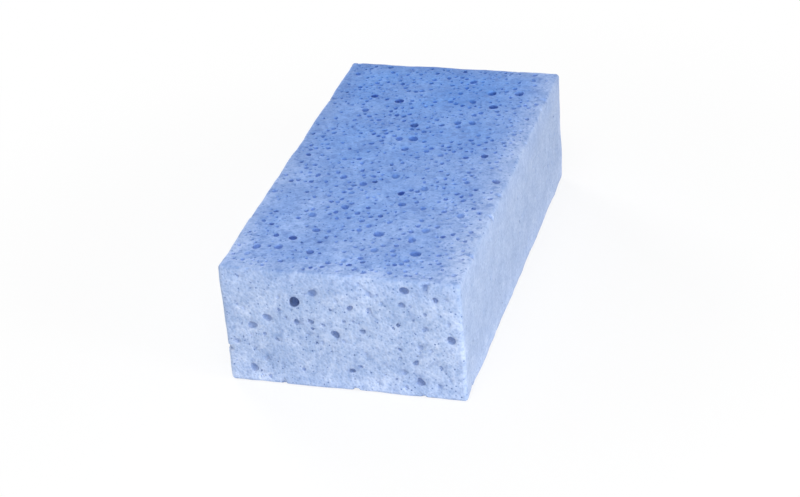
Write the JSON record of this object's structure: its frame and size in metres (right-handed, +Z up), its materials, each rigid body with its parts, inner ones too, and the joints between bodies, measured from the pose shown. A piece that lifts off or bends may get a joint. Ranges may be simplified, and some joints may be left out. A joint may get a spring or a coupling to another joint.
{
  "type": "cleaning sponge",
  "caption": "Rectangular block of open-cell cleaning foam with round pores cut open on its faces and edges.",
  "frame": {"origin": "middle of the flat underside, on the surface that the block lies on", "axes": "+X across the width, +Y along the length from the front end to the back end, +Z up through the thickness"},
  "size_m": [0.11, 0.21, 0.06],
  "materials": {
    "foam": "matt open-cell foam, dyed blue through its whole depth"
  },
  "bodies": {
    "root": {"sponge": "foam"}
  },
  "joints": []
}
